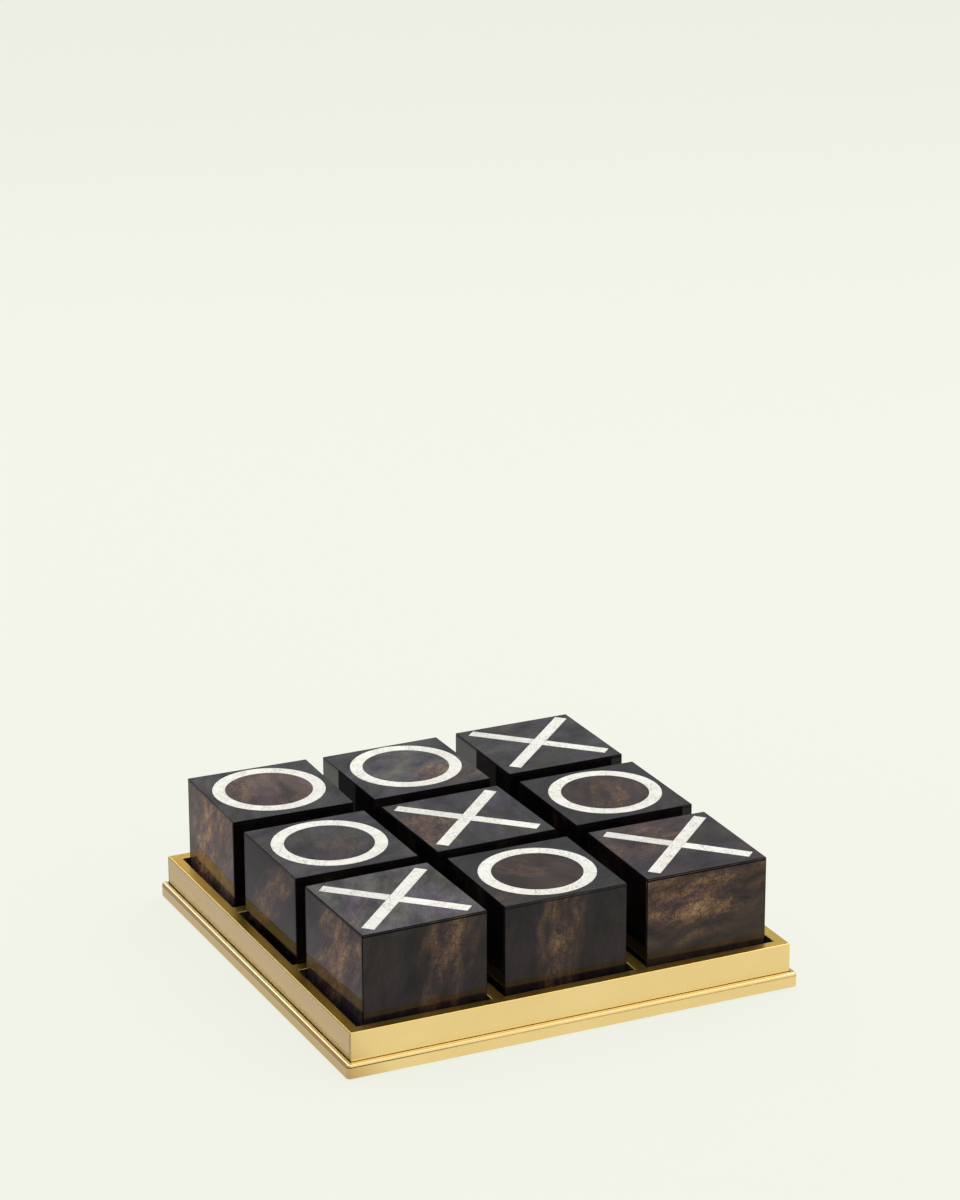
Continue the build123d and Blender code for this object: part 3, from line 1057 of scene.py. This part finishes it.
def weigh_top(bm):
    """Upright corners are eased fully, top edges most of it, the joint below and the sockets least."""
    for above, outer, share in ((False, True, joint_ease / corner_ease), (True, True, top_share),
                                (True, False, mark_ease / corner_ease)):
        weigh(bm, lambda e: (is_sharp(e) and on_top(e, block_height) == above
                             and on_side(e, block_half) == outer), share)
    weigh(bm, lambda e: is_sharp(e) and on_corner(e, block_half), 1.0)


def arc_tree():
    """One curved piece of inlay as a bent grid, set round the circle once for each segment."""
    tree, given = start_tree("ring_of_arcs", {
        "Segments": ring_segments, "Steps": circle_steps // ring_segments + 1, "Reach": mark_reach,
        "Width": mark_width, "Seam": glue_line, "Turn": ring_seam_turn, "Thickness": veneer,
        "Least tone": ring_tone, "Seed": tone_seed})
    grid = add_node(tree, "GeometryNodeMeshGrid",
                    {"Size X": 1.0, "Size Y": 1.0, "Vertices X": given["Steps"], "Vertices Y": 2})
    place = positions(tree)
    sweep = maths(tree, "DIVIDE", 2 * math.pi, given["Segments"])
    open_angle = maths(tree, "DIVIDE", given["Seam"], given["Reach"])
    used = maths(tree, "SUBTRACT", sweep, open_angle)
    along = maths(tree, "ADD", place["X"], 0.5)
    angle = maths(tree, "ADD", times(tree, along, used), times(tree, open_angle, 0.5))
    inward = times(tree, maths(tree, "ADD", place["Y"], 0.5), given["Width"])
    radius = maths(tree, "SUBTRACT", given["Reach"], inward)
    across = times(tree, radius, maths(tree, "COSINE", angle))
    back = times(tree, radius, maths(tree, "SINE", angle))
    bent = add_node(tree, "GeometryNodeSetPosition", {
        "Geometry": grid.outputs["Mesh"], "Position": combine(tree, across, back, 0.0)})
    turned = add_node(tree, "GeometryNodeFlipFaces", {"Mesh": bent.outputs[0]})
    slab = thickened(tree, turned.outputs[0], given["Thickness"])
    seats = add_node(tree, "GeometryNodeMeshLine", {"Count": given["Segments"], "Offset": (0.0, 0.0, 0.0)})
    index = add_node(tree, "GeometryNodeInputIndex").outputs[0]
    turn = maths(tree, "ADD", times(tree, index, sweep), given["Turn"])
    placed = add_node(tree, "GeometryNodeInstanceOnPoints", {
        "Points": seats.outputs["Mesh"], "Instance": slab, "Rotation": combine(tree, z=turn)})
    tone = add_node(tree, "FunctionNodeRandomValue",
                    {"Min": given["Least tone"], "ID": index, "Seed": given["Seed"]}, data_type="FLOAT")
    toned = add_node(tree, "GeometryNodeStoreNamedAttribute", {
        "Geometry": placed.outputs[0], "Name": "tone", "Value": tone.outputs[1]}, domain="INSTANCE")
    finish_tree(tree, toned.outputs[0], given["Material"])
    return tree


def cross_mesh(name, place, chance):
    """A long bar and two short ones that meet it."""
    bm = bmesh.new()
    tone = bm.faces.layers.float.new("tone")
    half = mark_width / 2
    bars = (
        (45, -arm_length, arm_length, 0.55),
        (-45, half + glue_line, arm_length, 0.9),
        (-45, -arm_length, -half - glue_line, 0.1))
    for degrees, start, end, paleness in bars:
        vertices = add_box(bm, (start, -half, 0), (end, half, veneer))
        value = paleness + chance.uniform(-0.1, 0.1)
        for face in faces_of(vertices):
            face[tone] = value
        bmesh.ops.rotate(bm, verts=vertices, matrix=Matrix.Rotation(math.radians(degrees), 3, "Z"))
    bmesh.ops.recalc_face_normals(bm, faces=bm.faces)
    return settled(bm, name, place)


def mark_piece(block, is_ring, place, arcs, bone, chance):
    name = f"{block}_{'ring' if is_ring else 'cross'}"
    if is_ring:
        mark = grown_piece(name, arcs, {"Material": bone})
        mark.data.transform(place)
        replaced = f"{block}_ring_inlay"
    else:
        mark = new_piece(name, cross_mesh(name, place, chance), bone)
        replaced = f"{block}_cross_inlay"
    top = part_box(replaced)[1].z
    weigh_mesh(mark.data, lambda edge: is_sharp(edge) and on_top(edge, top), 1.0)
    ease_edges(mark, mark_ease, mark_ease_steps)
    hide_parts(replaced)
    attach(mark, f"block_{block}")


def block_place(block):
    """A block's place and turn, read from its core in the frame."""
    low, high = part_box(f"{block}_core")
    middle = (low + high) / 2
    corner = max(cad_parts[f"{block}_core"].data.vertices, key=lambda v: v.co.x - v.co.y).co
    turn = math.atan2(corner.y - middle.y, corner.x - middle.x) + math.pi / 4
    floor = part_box(f"{block}_side_panels")[0].z
    return Matrix.Translation((middle.x, middle.y, floor)) @ Matrix.Rotation(turn, 4, "Z")


def add_block(block, shell, filler, bone, arcs):
    chance = random.Random(block)
    place = block_place(block)
    is_ring = f"{block}_ring_inlay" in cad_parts
    mark_low, mark_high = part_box(f"{block}_{'ring' if is_ring else 'cross'}_inlay")
    middle = (mark_low + mark_high) / 2
    centre = (place.inverted() @ middle).xy
    body = f"block_{block}"
    cuts = draw_cuts(block, chance)

    panels_mesh = settled(side_panels_bmesh(cuts), f"{block}_panels", place)
    panels = new_piece(f"{block}_panels", panels_mesh, shell)
    ease_edges(panels, corner_ease, ease_steps, filler)
    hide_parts(f"{block}_side_panels")

    top = ring_top_bmesh(cuts, centre) if is_ring else cross_top_bmesh(cuts, centre)
    face_lid_sides(top, cuts)
    bmesh.ops.recalc_face_normals(top, faces=top.faces)
    weigh_top(top)
    lid = new_piece(f"{block}_top", settled(top, f"{block}_top", place), shell)
    ease_edges(lid, corner_ease, ease_steps, filler)
    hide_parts(f"{block}_top_panel")

    for piece in (panels, lid):
        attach(piece, body)
    mark_place = Matrix.Translation((middle.x, middle.y, mark_low.z)) @ place.to_3x3().to_4x4()
    mark_piece(block, is_ring, mark_place, arcs, bone, chance)


# ---------------------------------------------------------------- CAD solids that stay

def finish_cad_nodes(tray_wood, core_wood, zinc):
    for name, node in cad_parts.items():
        if name.endswith("_core"):
            finish = core_wood
        elif name == "flange_screws":
            finish = zinc
        elif name.startswith(("base_board", "frame_rail", "cross_divider", "long_divider")):
            finish = tray_wood
        else:
            continue
        node.data.materials.clear()
        node.data.materials.append(finish)


# ---------------------------------------------------------------- studio

pale = (0.880, 0.896, 0.807)
floor_gap = 0.1 * mm
floor_reach = 30.0

# How much of the floor, as the camera sees it, is its own even glow
floor_glow = 0.88

# What brass and lacquer mirror of the floor, from the left of the set to its middle
mirrored_floor = (
    (0.20, (0.26, 0.25, 0.27)), (0.50, (0.52, 0.495, 0.50)), (0.575, (0.565, 0.530, 0.490)),
    (0.62, (0.550, 0.495, 0.390)), (0.74, pale))

# Each softbox: its place, what it faces, its width and height, and its power in watts
softboxes = {
    "overhead": ((0.1, 0.40, 1.7), (0, 0, 0), (2.7, 1.8), 14.6),
    "right": ((1.7, 0.3, 1.2), (0, 0, 0), (1.6, 2.0), 10.0),
    "back": ((-0.12, 1.54, 1.02), (0, 0, 0.03), (0.9, 0.5), 2.7),
    "front_fill": ((0.9, -1.9, 0.9), (0, 0, 0.03), (2.6, 1.4), 9.0),
}

camera_place = (-0.82052, -1.74172, 0.86118)
camera_yaw, camera_pitch, camera_roll = 0.443, -0.3348, -0.0022
focal_length = 118.47


def shown_rays(tree):
    """1 for rays that come from the camera or from a mirror or glass, 0 for the rest."""
    path = add_node(tree, "ShaderNodeLightPath")
    mirrored = maths(tree, "MAXIMUM", path.outputs["Is Glossy Ray"], path.outputs["Is Transmission Ray"])
    return path.outputs["Is Camera Ray"], mirrored


def mixed(tree, factor, first, second):
    return add_node(tree, "ShaderNodeMixShader", {0: factor, 1: first, 2: second}).outputs[0]


def shining(tree, shade):
    return add_node(tree, "ShaderNodeEmission", {"Color": shade, "Strength": 1.0}).outputs[0]


def add_floor():
    """A pale floor that keeps the set's shadow and, seen from below, is clear."""
    bm = bmesh.new()
    bmesh.ops.create_grid(bm, x_segments=1, y_segments=1, size=floor_reach)
    floor = add_object("floor", settled(bm, "floor", Matrix.Translation((0, 0, -floor_gap))))
    material = bpy.data.materials.new("floor")
    tree = empty_tree(material)
    camera_ray, mirrored = shown_rays(tree)
    across = axes(tree, object_place(tree))["X"]
    dimmed = shades(tree, spread(tree, across, -0.25, -0.05), mirrored_floor)
    lit = add_node(tree, "ShaderNodeBsdfDiffuse", {"Color": colour(*pale)}).outputs[0]
    seen = mixed(tree, floor_glow, lit, shining(tree, colour(*pale)))
    unseen = mixed(tree, mirrored, lit, shining(tree, dimmed))
    both = mixed(tree, camera_ray, unseen, seen)
    from_below = add_node(tree, "ShaderNodeNewGeometry").outputs["Backfacing"]
    clear = add_node(tree, "ShaderNodeBsdfTransparent").outputs[0]
    one_sided = mixed(tree, from_below, both, clear)
    add_node(tree, "ShaderNodeOutputMaterial", {"Surface": one_sided})
    floor.data.materials.append(material)


def add_world():
    """A pale room, lighter overhead. Mirrored, it is darker low down at the left."""
    world = bpy.data.worlds.new("studio")
    bpy.context.scene.world = world
    tree = empty_tree(world)
    camera_ray, mirrored = shown_rays(tree)
    toward = axes(tree, add_node(tree, "ShaderNodeTexCoord").outputs["Generated"])
    level = spread(tree, toward["Z"], 0.50, 0.80, 0.42, 0.82)
    at_left = spread(tree, toward["X"], -0.42, -0.20, 0.50, 0.0)
    low_down = spread(tree, toward["Z"], 0.36, 0.52, 1.0, 0.0)
    darkened = times(tree, mirrored, times(tree, at_left, low_down))
    level = times(tree, level, maths(tree, "SUBTRACT", 1.0, darkened))
    sky = add_node(tree, "ShaderNodeBackground", {"Color": colour(0.97, 0.98, 1.0), "Strength": level})
    plain = add_node(tree, "ShaderNodeBackground", {"Color": colour(*pale), "Strength": 1.0})
    both = mixed(tree, camera_ray, sky.outputs[0], plain.outputs[0])
    add_node(tree, "ShaderNodeOutputWorld", {"Surface": both})


def add_lights():
    for name, (place, aim, size, power) in softboxes.items():
        lamp = bpy.data.lights.new(name, "AREA")
        lamp.shape = "RECTANGLE"
        lamp.size, lamp.size_y = size
        lamp.energy = power
        softbox = add_object(name, lamp)
        softbox.location = place
        direction = Vector(aim) - Vector(place)
        softbox.rotation_euler = direction.to_track_quat("-Z", "Y").to_euler()


def add_camera():
    camera = bpy.data.cameras.new("camera")
    camera.sensor_width = 36.0
    camera.lens = focal_length
    camera.clip_start, camera.clip_end = 0.05, 100.0
    viewer = add_object("camera", camera)
    yaw, pitch, roll = camera_yaw, camera_pitch, camera_roll
    ahead = Vector((math.sin(yaw) * math.cos(pitch), math.cos(yaw) * math.cos(pitch), math.sin(pitch)))
    level_right = Vector((math.cos(yaw), -math.sin(yaw), 0.0))
    level_up = level_right.cross(ahead)
    right = math.cos(roll) * level_right + math.sin(roll) * level_up
    up = math.cos(roll) * level_up - math.sin(roll) * level_right
    turned = Matrix((right, up, -ahead)).transposed().to_4x4()
    viewer.matrix_world = Matrix.Translation(camera_place) @ turned
    bpy.context.scene.camera = viewer


# ---------------------------------------------------------------- the set

brass_x = satin_brass("satin_brass_across", brushed_across, light_tints, 0.24, 1.0)
brass_y = satin_brass("satin_brass_along", brushed_along, light_tints, 0.24, 1.0)
# the rim top's deeper tints are patina and a painted darker reflection
brass_top = satin_brass("satin_brass_top", brushed_across, rim_reflection_tints, 0.28, 0.0)
brass_edge = satin_brass("satin_brass_edge", buffed, edge_tints, 0.24, 0.4)
# the ledge's paler brass is a painted lighter reflection
brass_ledge_painted_light = satin_brass("satin_brass_ledge_painted_light", buffed, ledge_reflection_tints, 0.24, 1.0)
# painted shade for the mouldings' groove and foot, and the dark seams between the side plates
seam_and_shade = seam_and_shade_brass()
shell = lacquered_shell()
filler = joint_filler()
bone = polished_bone()
felt = black_felt()
tray_wood = grained_wood("stained_wood", (0.060, 0.045, 0.036), (0.030, 0.023, 0.019), (0.08, 1.0, 1.0))
core_wood = grained_wood("pale_wood", (0.46, 0.33, 0.20), (0.33, 0.22, 0.13), (1.0, 1.0, 0.08))
zinc = zinc_plate()

add_camera()
add_world()
add_floor()
add_lights()
add_top_plate(brass_top, brass_edge, brass_x)
add_side_plates((brass_x, brass_y), seam_and_shade)
add_mouldings((brass_x, brass_y), seam_and_shade, brass_ledge_painted_light)
add_linings(felt)
add_underside_felt(felt)
arcs = arc_tree()
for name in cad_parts:
    if name.endswith("_core"):
        add_block(name.removesuffix("_core"), shell, filler, bone, arcs)
finish_cad_nodes(tray_wood, core_wood, zinc)

bpy.context.scene.view_settings.view_transform = "Standard"
bpy.context.view_layer.update()
